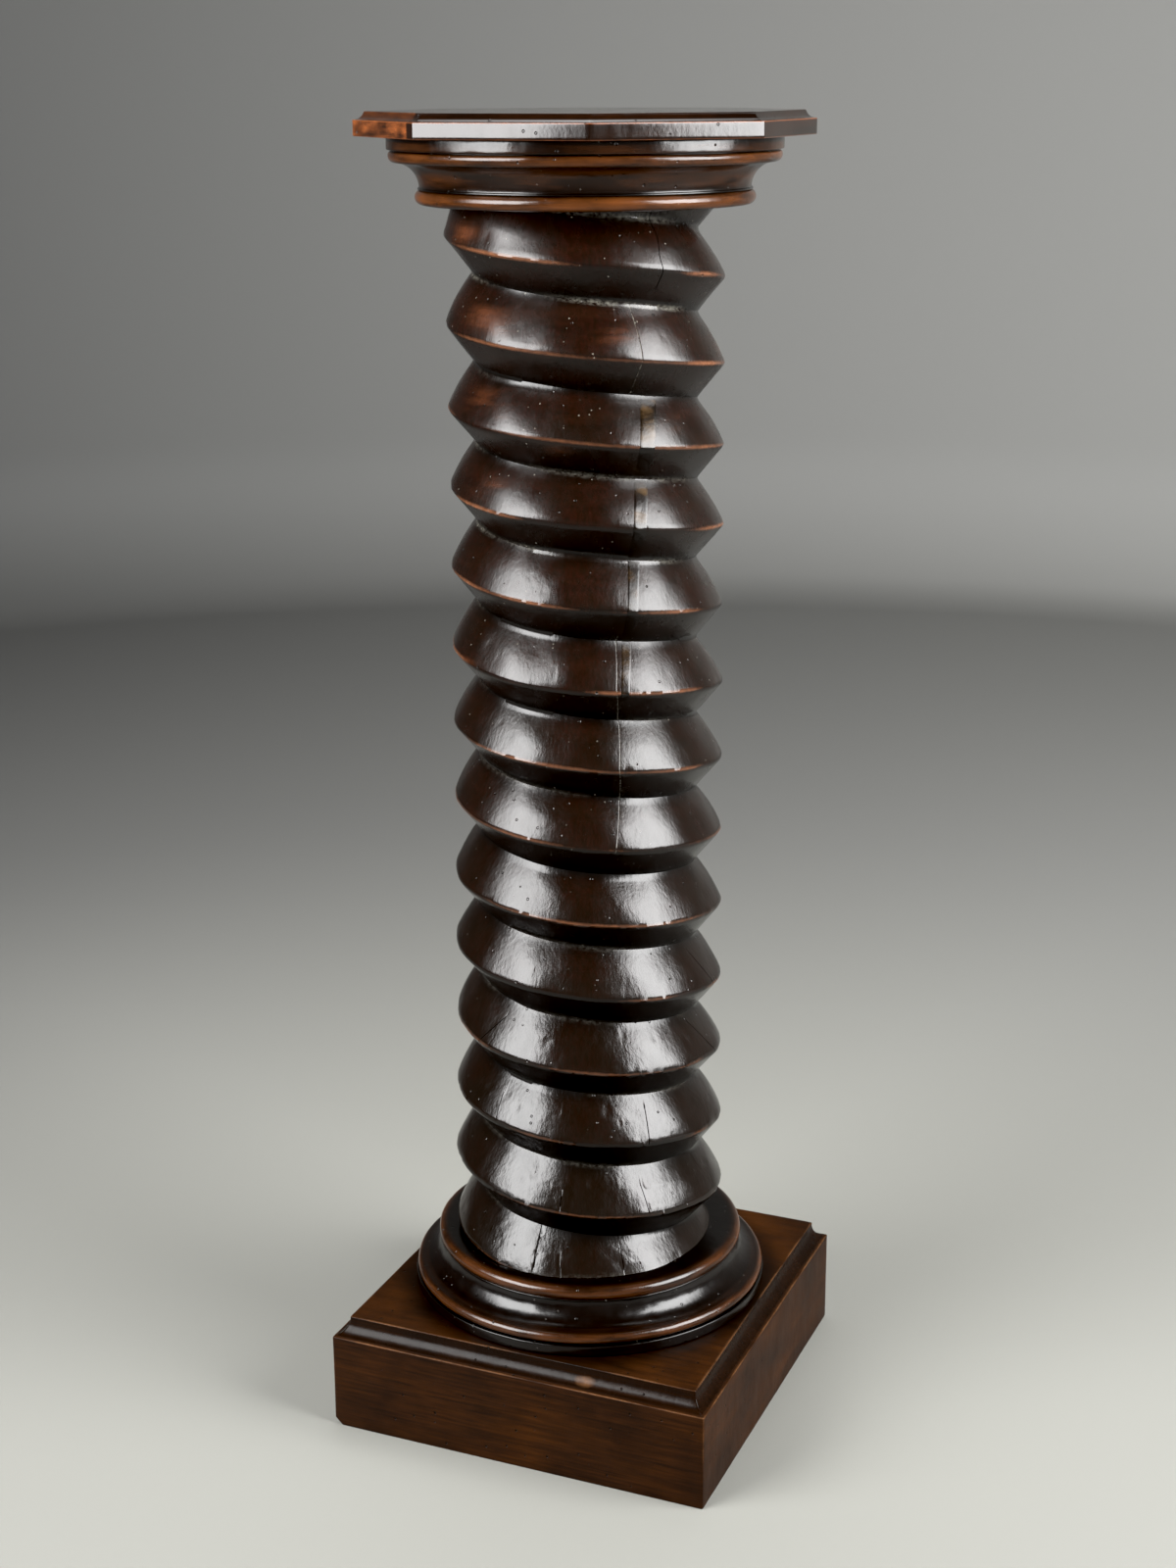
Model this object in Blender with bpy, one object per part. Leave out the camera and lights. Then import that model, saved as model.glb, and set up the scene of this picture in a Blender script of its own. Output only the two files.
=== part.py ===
"""A pedestal made from a wooden wine press screw.

A length of left-hand press screw stands between two turned mouldings, on a square plinth and under an
octagonal top. The origin is on the floor under the screw's axis. +Z is up and the plinth's front is -Y.
"""

import math

import bmesh
import bpy
from mathutils import Matrix

# Plinth
PLINTH_SIDE = 0.360
PLINTH_FACE_HEIGHT = 0.090
PLINTH_COVE_HEIGHT = 0.017
PLINTH_COVE_INSET = 0.0122
PLINTH_COVE_SAGITTA = 0.0032
PLINTH_COVE_STEPS = 5
PLINTH_NOSING = 0.0012
PLINTH_CHIP = 0.008

# Turned moulding, used as the base and, upside down, as the capital
MOULDING_TORUS_RADIUS = 0.1412
MOULDING_TORUS_HEIGHT = 0.0120
MOULDING_TORUS_STEPS = 5
MOULDING_FILLET_RADIUS = 0.1388
MOULDING_FILLET_HEIGHT = 0.0016
MOULDING_NECK_RADIUS = 0.1373
MOULDING_COVE_HEIGHT = 0.0202
MOULDING_COVE_SAGITTA = 0.0057
MOULDING_COVE_STEPS = 4
MOULDING_BEAD_INNER_RADIUS = 0.1575
MOULDING_BEAD_RADIUS = 0.1622
MOULDING_BEAD_HEIGHT = 0.0088
MOULDING_QUIRK_RADIUS = 0.1602
MOULDING_QUIRK_HEIGHT = 0.0014
MOULDING_FASCIA_RADIUS = 0.1634
MOULDING_FASCIA_HEIGHT = 0.0100

# Press screw
SCREW_LENGTH = 0.9272
THREAD_PITCH = 0.0684
THREAD_DEPTH = 0.0232
THREAD_UPPER_FLANK = 0.0395
THREAD_FLANK_BULGE = 0.0012
THREAD_CREST_LAND = 0.0024
THREAD_ROOT_LAND = 0.0030
CREST_RADIUS_HEAD = 0.1163
CREST_RADIUS_FOOT = 0.1238
CREST_RISE_AT_X = 0.0485
LEFT_HAND = -1

# Strip of new wood let into a long shrinkage crack
STRIP_FOOT = 0.530
STRIP_LENGTH = 0.250
STRIP_WIDTH_FOOT = 0.007
STRIP_WIDTH_HEAD = 0.014
STRIP_OFFSET_FOOT = 0.020
STRIP_OFFSET_HEAD = 0.043
STRIP_DEPTH_BELOW_ROOT = 0.010
STRIP_AZIMUTH_DEG = -62
GLUE_GAP = 0.0003

# Octagonal top
TOP_ACROSS_FLATS = 0.3522
TOP_FACE_HEIGHT = 0.0130
TOP_COVE_HEIGHT = 0.0068
TOP_COVE_INSET = 0.0086
TOP_COVE_SAGITTA = 0.0015
TOP_COVE_STEPS = 3
TOP_UNDER_CHAMFER = 0.0014
TOP_TURN_DEG = 1.2

SEAT_GAP = 0.0003
ROUND_STEPS = 44
SPARE_TURNS = 2
SHARP_ANGLE_DEG = 28
FACE_MERGE = 1e-6

BASE_LEVEL = PLINTH_FACE_HEIGHT + PLINTH_COVE_HEIGHT + SEAT_GAP
MOULDING_HEIGHT = (
    MOULDING_TORUS_HEIGHT
    + MOULDING_FILLET_HEIGHT
    + MOULDING_COVE_HEIGHT
    + MOULDING_BEAD_HEIGHT
    + MOULDING_QUIRK_HEIGHT
    + MOULDING_FASCIA_HEIGHT
)
SCREW_LEVEL = BASE_LEVEL + MOULDING_HEIGHT + SEAT_GAP
CAPITAL_LEVEL = SCREW_LEVEL + SCREW_LENGTH + SEAT_GAP
TOP_LEVEL = CAPITAL_LEVEL + MOULDING_HEIGHT + SEAT_GAP


def wood(name, colour, roughness):
    """A plain waxed-wood finish in a linear base colour."""
    material = bpy.data.materials.new(name)
    material.use_nodes = True
    shader = material.node_tree.nodes["Principled BSDF"]
    shader.inputs["Base Color"].default_value = (*colour, 1.0)
    shader.inputs["Roughness"].default_value = roughness
    shader.inputs["Metallic"].default_value = 0.0
    return material


def solid(name, bm, material):
    """Turns a finished bmesh into a named object with smooth rounds and crisp arrises."""
    bmesh.ops.recalc_face_normals(bm, faces=bm.faces)
    mesh = bpy.data.meshes.new(name)
    bm.to_mesh(mesh)
    bm.free()
    mesh.shade_smooth()
    mesh.set_sharp_from_angle(angle=math.radians(SHARP_ANGLE_DEG))
    mesh.materials.append(material)
    obj = bpy.data.objects.new(name, mesh)
    bpy.context.scene.collection.objects.link(obj)
    return obj


def hollow(start, end, sagitta, steps):
    """Points of a circular arc from start to end, both included, bowed to the right of that direction."""
    chord_x, chord_z = end[0] - start[0], end[1] - start[1]
    chord = math.hypot(chord_x, chord_z)
    radius = (chord * chord / 4 + sagitta * sagitta) / (2 * sagitta)
    half_sweep = math.asin(chord / 2 / radius)
    right_x, right_z = chord_z / chord, -chord_x / chord
    points = []
    for step in range(steps + 1):
        angle = half_sweep * (2 * step / steps - 1)
        along = 0.5 + radius * math.sin(angle) / chord
        bow = radius * (math.cos(angle) - math.cos(half_sweep))
        points.append((start[0] + chord_x * along + right_x * bow, start[1] + chord_z * along + right_z * bow))
    return points


def moulded_prism(sides, turn_deg, profile):
    """A closed regular prism: each profile point is an apothem and a height, listed from the underside up."""
    bm = bmesh.new()
    rings = []
    for apothem, height in profile:
        radius = apothem / math.cos(math.pi / sides)
        ring = []
        for side in range(sides):
            angle = math.radians(turn_deg) + math.pi * (2 * side + 1) / sides
            ring.append(bm.verts.new((radius * math.cos(angle), radius * math.sin(angle), height)))
        rings.append(ring)
    for lower, upper in zip(rings, rings[1:]):
        for side in range(sides):
            after = (side + 1) % sides
            bm.faces.new((lower[side], lower[after], upper[after], upper[side]))
    bm.faces.new(rings[0])
    bm.faces.new(rings[-1])
    return bm


def turned(profile):
    """A closed solid of revolution about +Z: each profile point is a radius and a height, from axis to axis."""
    bm = bmesh.new()
    verts = [bm.verts.new((radius, 0, height)) for radius, height in profile]
    edges = [bm.edges.new(pair) for pair in zip(verts, verts[1:])]
    bmesh.ops.spin(
        bm,
        geom=verts + edges,
        cent=(0, 0, 0),
        axis=(0, 0, 1),
        angle=2 * math.pi,
        steps=ROUND_STEPS,
        use_merge=True,
    )
    bmesh.ops.remove_doubles(bm, verts=bm.verts, dist=FACE_MERGE)
    return bm


def keep_side(bm, point, outward):
    """Cuts the solid flat at a plane, drops what lies on its outward side and closes the cut."""
    cut = bmesh.ops.bisect_plane(
        bm,
        geom=bm.verts[:] + bm.edges[:] + bm.faces[:],
        dist=FACE_MERGE,
        plane_co=point,
        plane_no=outward,
        clear_outer=True,
    )
    rim = [item for item in cut["geom_cut"] if isinstance(item, bmesh.types.BMEdge)]
    bmesh.ops.contextual_create(bm, geom=rim)


def plinth(material):
    """The square block with a cove run round its upper edge, and its worn lower corner."""
    half = PLINTH_SIDE / 2
    cove_foot = (half, PLINTH_FACE_HEIGHT)
    cove_head = (half - PLINTH_COVE_INSET, PLINTH_FACE_HEIGHT + PLINTH_COVE_HEIGHT - PLINTH_NOSING)
    profile = [(half, 0)]
    profile += reversed(hollow(cove_head, cove_foot, PLINTH_COVE_SAGITTA, PLINTH_COVE_STEPS))
    profile.append((cove_head[0] - PLINTH_NOSING, cove_head[1] + PLINTH_NOSING))
    bm = moulded_prism(4, 0, profile)
    keep_side(bm, (-half + PLINTH_CHIP, -half, 0), (-1, -1, -1))
    return solid("plinth", bm, material)


def moulding_profile():
    """The moulding from its torus up to its fascia, as radius and height from axis to axis."""
    torus_radius = MOULDING_TORUS_HEIGHT / 2
    torus_centre = MOULDING_TORUS_RADIUS - torus_radius
    profile = [(0, 0)]
    for step in range(MOULDING_TORUS_STEPS):
        angle = math.pi * step / MOULDING_TORUS_STEPS - math.pi / 2
        profile.append((torus_centre + torus_radius * math.cos(angle), torus_radius * (1 + math.sin(angle))))
    level = MOULDING_TORUS_HEIGHT
    profile.append((MOULDING_FILLET_RADIUS, level))
    level += MOULDING_FILLET_HEIGHT
    neck = (MOULDING_NECK_RADIUS, level)
    level += MOULDING_COVE_HEIGHT
    bead_foot = (MOULDING_BEAD_INNER_RADIUS, level)
    profile += reversed(hollow(bead_foot, neck, MOULDING_COVE_SAGITTA, MOULDING_COVE_STEPS))
    profile.append((MOULDING_BEAD_RADIUS, level + MOULDING_BEAD_HEIGHT / 2))
    level += MOULDING_BEAD_HEIGHT
    profile.append((MOULDING_QUIRK_RADIUS, level))
    level += MOULDING_QUIRK_HEIGHT
    profile.append((MOULDING_FASCIA_RADIUS, level))
    profile.append((MOULDING_FASCIA_RADIUS, MOULDING_HEIGHT))
    profile.append((0, MOULDING_HEIGHT))
    return profile


def base_moulding(material):
    """The moulding with its torus uppermost, under the screw."""
    profile = [(radius, MOULDING_HEIGHT - height) for radius, height in moulding_profile()]
    base = solid("base_moulding", turned(profile), material)
    base.location.z = BASE_LEVEL
    return base


def capital_moulding(material):
    """The same moulding with its fascia uppermost, under the top."""
    capital = solid("capital_moulding", turned(moulding_profile()), material)
    capital.location.z = CAPITAL_LEVEL
    return capital


def crest_radius(height):
    """The thread's crest at a height above the screw's foot: the trunk swells towards its butt end."""
    above = min(max(1 - height / SCREW_LENGTH, 0), 1)
    return CREST_RADIUS_HEAD + (CREST_RADIUS_FOOT - CREST_RADIUS_HEAD) * above**2


def thread_form():
    """One pitch of thread from one crest to the next, as height above the crest and depth below it."""
    root = THREAD_UPPER_FLANK
    return [
        (-THREAD_CREST_LAND / 2, 0),
        (THREAD_CREST_LAND / 2, 0),
        (root / 2, THREAD_DEPTH / 2 - THREAD_FLANK_BULGE),
        (root - THREAD_ROOT_LAND / 2, THREAD_DEPTH),
        (root + THREAD_ROOT_LAND / 2, THREAD_DEPTH),
    ]


def threaded_shaft():
    """The screw before any repair: helical rows of thread, cut off square at both ends."""
    form = thread_form()
    turns = math.ceil(SCREW_LENGTH / THREAD_PITCH) + 2 * SPARE_TURNS
    bm = bmesh.new()
    columns = []
    for step in range(ROUND_STEPS):
        share = step / ROUND_STEPS
        angle = 2 * math.pi * share
        column = []
        for turn in range(turns):
            crest = CREST_RISE_AT_X + THREAD_PITCH * (turn - SPARE_TURNS + LEFT_HAND * share)
            for rise, depth in form:
                radius = crest_radius(crest + rise) - depth
                spot = (radius * math.cos(angle), radius * math.sin(angle), crest + rise)
                column.append(bm.verts.new(spot))
        columns.append(column)
    # A full circle moves the rows on by one turn, so the last column meets the first one a turn further along.
    moved_on = columns[0][len(form) :] if LEFT_HAND > 0 else [None] * len(form) + columns[0]
    columns.append(moved_on)
    for column, after in zip(columns, columns[1:]):
        for low in range(min(len(column), len(after)) - 1):
            corners = (column[low], after[low], after[low + 1], column[low + 1])
            if None not in corners:
                bm.faces.new(corners)
    keep_side(bm, (0, 0, 0), (0, 0, -1))
    keep_side(bm, (0, 0, SCREW_LENGTH), (0, 0, 1))
    return bm


def strip_wedge(margin):
    """The wedge-shaped strip, or with a margin the groove for it, sunk into the thread to one side of the axis."""
    inner = CREST_RADIUS_HEAD - THREAD_DEPTH - STRIP_DEPTH_BELOW_ROOT - margin
    outer = CREST_RADIUS_FOOT + THREAD_DEPTH
    bm = bmesh.new()
    rings = []
    for rise, width, shift in (
        (STRIP_FOOT - margin, STRIP_WIDTH_FOOT, STRIP_OFFSET_FOOT),
        (STRIP_FOOT + STRIP_LENGTH + margin, STRIP_WIDTH_HEAD, STRIP_OFFSET_HEAD),
    ):
        reach = width / 2 + margin
        spots = ((inner, shift - reach), (outer, shift - reach), (outer, shift + reach), (inner, shift + reach))
        rings.append([bm.verts.new((x, y, rise)) for x, y in spots])
    low, high = rings
    for corner in range(4):
        after = (corner + 1) % 4
        bm.faces.new((low[corner], low[after], high[after], high[corner]))
    bm.faces.new(low)
    bm.faces.new(high)
    bmesh.ops.rotate(bm, verts=bm.verts, matrix=Matrix.Rotation(math.radians(STRIP_AZIMUTH_DEG), 3, "Z"))
    return bm


def helper(name, bm, material):
    """A shape that only cuts or trims another, kept out of the model."""
    obj = solid(name, bm, material)
    obj.location.z = SCREW_LEVEL
    obj.hide_render = True
    obj.display_type = "WIRE"
    return obj


def cut_with(obj, other, operation):
    """Adds an exact Boolean to obj."""
    boolean = obj.modifiers.new(operation.lower(), "BOOLEAN")
    boolean.operation = operation
    boolean.solver = "EXACT"
    boolean.object = other


def press_screw(material):
    """The threaded shaft, with a groove for the strip."""
    groove = helper("strip_groove", strip_wedge(GLUE_GAP), material)
    screw = solid("press_screw", threaded_shaft(), material)
    screw.location.z = SCREW_LEVEL
    cut_with(screw, groove, "DIFFERENCE")
    return screw


def repair_strip(material):
    """The let-in strip, shaved flush with the thread it crosses."""
    thread = helper("strip_trimmer", threaded_shaft(), material)
    strip = solid("repair_strip", strip_wedge(0), material)
    strip.location.z = SCREW_LEVEL
    cut_with(strip, thread, "INTERSECT")
    return strip


def top_slab(material):
    """The octagonal top with a small cove round its upper edge."""
    apothem = TOP_ACROSS_FLATS / 2
    cove_foot = (apothem, TOP_FACE_HEIGHT)
    cove_head = (apothem - TOP_COVE_INSET, TOP_FACE_HEIGHT + TOP_COVE_HEIGHT)
    profile = [(apothem - TOP_UNDER_CHAMFER, 0), (apothem, TOP_UNDER_CHAMFER)]
    profile += reversed(hollow(cove_head, cove_foot, TOP_COVE_SAGITTA, TOP_COVE_STEPS))
    slab = solid("top_slab", moulded_prism(8, TOP_TURN_DEG, profile), material)
    slab.location.z = TOP_LEVEL
    return slab


def main():
    for old in list(bpy.data.objects):
        bpy.data.objects.remove(old)
    walnut = wood("stained walnut", (0.060, 0.024, 0.010), 0.35)
    screw_wood = wood("polished press screw wood", (0.035, 0.014, 0.008), 0.30)
    pale_wood = wood("pale repair wood", (0.130, 0.085, 0.045), 0.45)
    plinth(walnut)
    base_moulding(walnut)
    press_screw(screw_wood)
    repair_strip(pale_wood)
    capital_moulding(walnut)
    top_slab(walnut)


main()
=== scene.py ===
"""The looks of a pedestal made from a wooden wine press screw.

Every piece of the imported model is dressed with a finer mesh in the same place: the screw with its hand-cut
waver, worn crests and cracks, the strip let into it, the turned mouldings, and the plinth and the top with
softened arrises. The frame is in metres with +Z up, and the plinth's front is -Y.
"""

import math

import bmesh
import bpy
import numpy as np
from bpy.props import FloatProperty, FloatVectorProperty, PointerProperty
from mathutils import Matrix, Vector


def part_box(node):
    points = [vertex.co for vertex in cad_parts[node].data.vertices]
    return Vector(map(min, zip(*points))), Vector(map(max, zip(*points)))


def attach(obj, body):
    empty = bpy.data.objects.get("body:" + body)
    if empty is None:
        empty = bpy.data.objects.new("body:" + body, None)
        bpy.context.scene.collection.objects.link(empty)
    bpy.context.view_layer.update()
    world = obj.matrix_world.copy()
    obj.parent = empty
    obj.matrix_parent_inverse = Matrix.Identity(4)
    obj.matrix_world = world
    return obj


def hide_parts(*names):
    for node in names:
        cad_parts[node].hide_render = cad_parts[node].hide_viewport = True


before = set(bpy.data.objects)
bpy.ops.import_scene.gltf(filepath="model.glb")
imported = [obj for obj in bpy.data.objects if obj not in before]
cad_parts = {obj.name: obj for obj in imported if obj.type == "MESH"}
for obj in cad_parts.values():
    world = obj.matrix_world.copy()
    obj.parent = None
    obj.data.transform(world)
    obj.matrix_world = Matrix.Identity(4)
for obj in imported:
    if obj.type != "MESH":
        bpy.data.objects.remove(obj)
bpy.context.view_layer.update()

bl_info = {
    "name": "Press screw pedestal",
    "version": (1, 0, 0),
    "blender": (4, 5, 0),
    "location": "3D View > Sidebar > Pedestal",
    "description": "Dresses the packed pedestal with fine meshes, old polished wood and a studio",
    "category": "Add Mesh",
}

MM = 0.001
FULL_TURN = 2 * math.pi
# The side of the object that the photograph looks at, which gets the closer spacing of points.
VIEW_AZIMUTH = math.radians(-67.33)
LEFT_OF_VIEW = VIEW_AZIMUTH - math.pi / 2

# Cracks in the screw. Each has its bends from the upper end down, as bearing in degrees and height in metres,
# then half its width in mm, and whether old glue fills it. The last two are on the back.
CRACKS = (
    (((-35.0, 1.089), (-33.4, 1.068), (-35.7, 1.052), (-34.4, 1.022)), 0.45, False),
    (((-45.5, 1.014), (-44.2, 0.979), (-45.0, 0.950)), 0.35, True),
    (
        ((-52.3, 0.745), (-55.5, 0.701), (-51.6, 0.667), (-54.4, 0.632), (-51.0, 0.603), (-56.2, 0.560)),
        0.3,
        True,
    ),
    (((-8.5, 0.449), (2.0, 0.410)), 0.45, False),
    (((-9.4, 0.383), (4.0, 0.345)), 0.45, False),
    (((-111.0, 0.396), (-128.0, 0.355)), 0.4, False),
    (((-39.8, 0.319), (-41.6, 0.286)), 0.5, False),
    (((-112.0, 0.325), (-111.0, 0.300)), 0.4, False),
    (((-43.0, 0.245), (-41.4, 0.220)), 0.4, False),
    (((-79.8, 0.243), (-80.1, 0.227)), 0.35, False),
    (((-92.8, 0.198), (-92.1, 0.162)), 0.6, False),
    (((-81.1, 0.180), (-79.9, 0.162)), 0.35, False),
    (((-52.6, 0.184), (-52.0, 0.163)), 0.5, False),
    (((60.0, 0.95), (63.0, 0.70)), 0.5, False),
    (((140.0, 0.55), (137.0, 0.30)), 0.5, False),
)
CRACK_DEPTH = 1.3 * MM
GLUED_DEPTH = 0.25 * MM

# Places on the screw that are rubbed orange brown: bearing in degrees, height in metres and reach in mm. The
# last four are on the back.
RUBBED_PLACES = (
    (-116, 1.004, 14), (-106, 0.996, 9), (-54, 0.993, 11), (-118, 0.936, 14), (-107, 0.930, 9),
    (-114, 0.866, 11), (-128, 1.068, 12), (-85, 0.978, 8), (-25, 0.92, 9), (-80, 0.90, 8), (-130, 0.71, 10),
    (-128, 0.57, 9), (30, 0.98, 20), (110, 0.90, 22), (170, 0.80, 18), (60, 0.65, 16),
)

# Patterns that all the wood has: size in mm along X, Y and Z, detail, roughness and a shift of its own.
THINNED_STAIN = ((75, 75, 11), 5.0, 0.6, 3.1)
DARK_STAINS = ((60, 60, 36), 3.0, 0.6, 6.3)
CHAFED_EDGES = ((6, 6, 4), 4.0, 0.65, 5.2)
WAX_CRUST = ((4, 4, 3), 4.0, 0.7, 9.4)
SCUFFS = ((15, 15, 40), 5.0, 0.65, 12.5)
PLANING_SWELL = ((17, 17, 26), 4.0, 0.6, 21.0)
# Worm holes and pale flecks: spacing and width in mm, and the share of the places that have one.
WORM_HOLES = (10, 1.5, 0.4)
PALE_FLECKS = (8, 0.9, 0.45)
# Wood and the shellac over it both bend light about as glass does.
POLISH_IOR = 1.5
COAT_ROUGHNESS = 0.1


def linear(hex_colour):
    """An sRGB hex colour as the linear red, green and blue that shaders take."""
    parts = [int(hex_colour[i : i + 2], 16) / 255 for i in (1, 3, 5)]
    return tuple(p / 12.92 if p <= 0.04045 else ((p + 0.055) / 1.055) ** 2.4 for p in parts)


DUST = linear("#7c7973")
HOLE_BLACK = linear("#070503")


def length(name, description, default):
    """A size that the user can change, shown in the scene's length unit."""
    return FloatProperty(
        name=name, description=description, default=default, min=0, unit="LENGTH", precision=5
    )


def angle(name, description, default):
    """A direction or a tilt that the user can change."""
    return FloatProperty(name=name, description=description, default=default, subtype="ANGLE")


def amount(name, description, default):
    """A plain number that the user can change, never under zero."""
    return FloatProperty(name=name, description=description, default=default, min=0)


def colour(name, description, default):
    """A colour that the user can change."""
    return FloatVectorProperty(
        name=name, description=description, default=linear(default), subtype="COLOR", min=0, max=1, size=3
    )


class ScrewSettings(bpy.types.PropertyGroup):
    """Sizes and colours of the press screw."""

    pitch: length("Pitch", "Height of one turn of the thread", 68.4 * MM)
    depth: length("Depth", "Depth of the thread's sharp vee", 24.2 * MM)
    upper_flank: length("Upper flank", "Height of the flank that faces up", 39.5 * MM)
    flank_bulge: length("Flank bulge", "How far the upper flank swells at its middle", 1.8 * MM)
    crest_rise: length("Crest rise", "Height of the first crest over the foot, at +X", 48.5 * MM)
    crest_head: length("Crest radius at the head", "Radius over the thread at the head", 116.3 * MM)
    crest_foot: length("Crest radius at the foot", "Radius over the thread at the foot", 123.8 * MM)
    crest_wear: length("Crest wear", "How much the crest is rounded by wear", 0.6 * MM)
    root_fillet: length("Root fillet", "How soft the bottom of the thread is", 1.3 * MM)
    waver: length("Waver", "How far the hand-cut thread strays up and down", 1.1 * MM)
    head_runout: length("Head run-out", "Height over which the thread runs out under the capital", 38 * MM)
    dark: colour("Dark", "Stained wood in the hollows", "#090502")
    red: colour("Red brown", "Stained wood where it is rubbed", "#160704")
    amber: colour("Amber", "Wood where the stain has thinned", "#56301c")
    worn: colour("Worn crest", "Bare rubbed wood along the crest", "#6d4630")
    wax: colour("Old wax", "Pale wax and dust left in the roots", "#77746a")


class StripSettings(bpy.types.PropertyGroup):
    """Sizes and colours of the strip let into the screw's crack."""

    width_foot: length("Width at the foot", "Width of the strip at its lower end", 7 * MM)
    width_head: length("Width at the head", "Width of the strip at its upper end", 14 * MM)
    offset_foot: length("Offset at the foot", "Sideways place of the lower end", 20 * MM)
    offset_head: length("Offset at the head", "Sideways place of the upper end", 43 * MM)
    azimuth: angle("Azimuth", "Direction that the strip's groove was cut in", math.radians(-62))
    proud: length("Proud", "How far the strip stands over the thread", 0.08 * MM)
    wood: colour("Strip wood", "Paler wood of the repair", "#4a3822")


class MouldingSettings(bpy.types.PropertyGroup):
    """Sizes and colours of the two turned mouldings."""

    torus_radius: length("Torus radius", "Radius over the torus", 141.2 * MM)
    torus_height: length("Torus height", "Height of the torus", 12.0 * MM)
    fillet_radius: length("Fillet radius", "Radius of the fillet beside the torus", 138.8 * MM)
    fillet_height: length("Fillet height", "Height of that fillet", 1.6 * MM)
    neck_radius: length("Neck radius", "Least radius of the cavetto", 137.3 * MM)
    cove_height: length("Cavetto height", "Height of the cavetto", 20.2 * MM)
    cove_sagitta: length("Cavetto hollow", "How deep the cavetto is under its chord", 5.7 * MM)
    bead_inner: length("Bead foot radius", "Radius where the cavetto meets the bead", 157.5 * MM)
    bead_radius: length("Bead radius", "Radius over the bead", 162.2 * MM)
    bead_height: length("Bead height", "Height of the bead", 8.8 * MM)
    quirk_radius: length("Quirk radius", "Radius at the bottom of the quirk", 160.2 * MM)
    quirk_height: length("Quirk height", "Height of the quirk", 1.4 * MM)
    fascia_radius: length("Fascia radius", "Radius of the plain band", 163.4 * MM)
    arris: length("Arris", "Rounding of the turned arrises", 0.9 * MM)
    dark: colour("Dark", "Nearly black stain in the hollows", "#070301")
    brown: colour("Brown", "Stain on the plain surfaces", "#170a05")
    rubbed: colour("Rubbed", "Rounds rubbed back to the wood", "#4e2b12")


class PlinthSettings(bpy.types.PropertyGroup):
    """Sizes and colours of the plinth."""

    face_height: length("Face height", "Height of the upright faces", 90 * MM)
    cove_inset: length("Cove inset", "How far the cove steps in", 12.2 * MM)
    cove_sagitta: length("Cove hollow", "How deep the cove is under its chord", 3.2 * MM)
    ledge: length("Ledge", "Width of the small flat under the cove", 1.6 * MM)
    nosing: length("Nosing", "Rounding of the cove's upper arris", 1.5 * MM)
    arris: length("Arris", "Rounding of the upright and lower arrises", 1.3 * MM)
    chip: length("Chip", "Size of the break at the lower front left corner", 8 * MM)
    dark: colour("Dark", "Stain in the cove", "#0d0603")
    brown: colour("Brown", "Stain on the faces", "#291507")
    honey: colour("Honey", "Thin stain on the upper surface", "#351b05")
    tan: colour("Tan", "Bare wood on the rubbed arrises", "#5e3f26")


class TopSettings(bpy.types.PropertyGroup):
    """Sizes and colours of the octagonal top."""

    across_flats: length("Across flats", "Width between opposite sides", 352.2 * MM)
    face_height: length("Face height", "Height of the upright edges", 13.0 * MM)
    cove_inset: length("Cove inset", "How far the cove steps in", 8.6 * MM)
    cove_sagitta: length("Cove hollow", "How deep the cove is under its chord", 1.5 * MM)
    ledge: length("Ledge", "Width of the small flat under the cove", 0.8 * MM)
    nosing: length("Nosing", "Rounding of the cove's upper arris", 0.8 * MM)
    arris: length("Arris", "Rounding of the arrises", 1.0 * MM)
    turn: angle("Turn", "Turn about the axis", math.radians(1.2))
    dark: colour("Dark", "Dark stain", "#120a06")
    brown: colour("Brown", "Stain on the edges", "#22110a")
    amber: colour("Amber", "Thin stain on the rubbed edges", "#7a4220")


class StageSettings(bpy.types.PropertyGroup):
    """Camera, floor and lights."""

    camera_azimuth: angle(
        "Camera azimuth", "Turn of the camera to the right of the plinth's front", math.radians(22.67)
    )
    camera_distance: length("Camera distance", "Level distance from the screw's axis", 1.9949)
    camera_height: length("Camera height", "Height of the camera over the floor", 1.1888)
    camera_pitch: angle("Camera pitch", "How far the camera looks down", 0.2932)
    camera_roll: angle("Camera roll", "Tilt of the frame", -0.0042)
    lens: amount("Lens", "Focal length in mm on a frame 36 mm high", 53.73)
    left_radiance: amount("Left light", "Brightness of the left light", 29)
    right_radiance: amount("Right light", "Brightness of the right light", 31.5)
    top_radiance: amount("Top light", "Brightness of the light above", 13)
    ambient: amount("Ambient", "Brightness of the room", 0.06)
    black: amount("Black", "Tones under this are shown as black", 0.004)
    room: colour("Room", "Colour of the room's own light", "#b9bbbc")
    # The floor and the backdrop carry painted shade and light: darker away from the object and on the left,
    # lighter on the right.
    floor: colour("Floor", "Pale studio floor", "#6d6d68")
    floor_far_shade: colour("Far floor", "Floor towards the backdrop", "#343433")
    floor_right_lit: colour("Far floor to the right", "Lighter right half of the far floor", "#747471")
    wall: colour("Wall", "Grey backdrop that the floor sweeps up into", "#1c1c1c")
    wall_right_lit: colour("Right of the wall", "Lighter right half of the backdrop", "#868683")


def pedestal():
    """The settings of this scene."""
    return bpy.context.scene.pedestal


def smooth_min(a, b, softness):
    """The lower of two values, with the corner between them rounded."""
    return (a + b - np.sqrt((a - b) ** 2 + softness**2)) / 2


def step_up(value, low, high):
    """0 below low and 1 above high, with a smooth rise between them."""
    share = np.clip((value - low) / (high - low), 0, 1)
    return share * share * (3 - 2 * share)


def bell(offset, width):
    """1 where the offset is zero, falling smoothly to almost nothing at twice the width."""
    return np.exp(-((offset / width) ** 2))


def wrapped(turn):
    """The angle brought between minus and plus half a turn."""
    return (turn + math.pi) % FULL_TURN - math.pi


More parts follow.
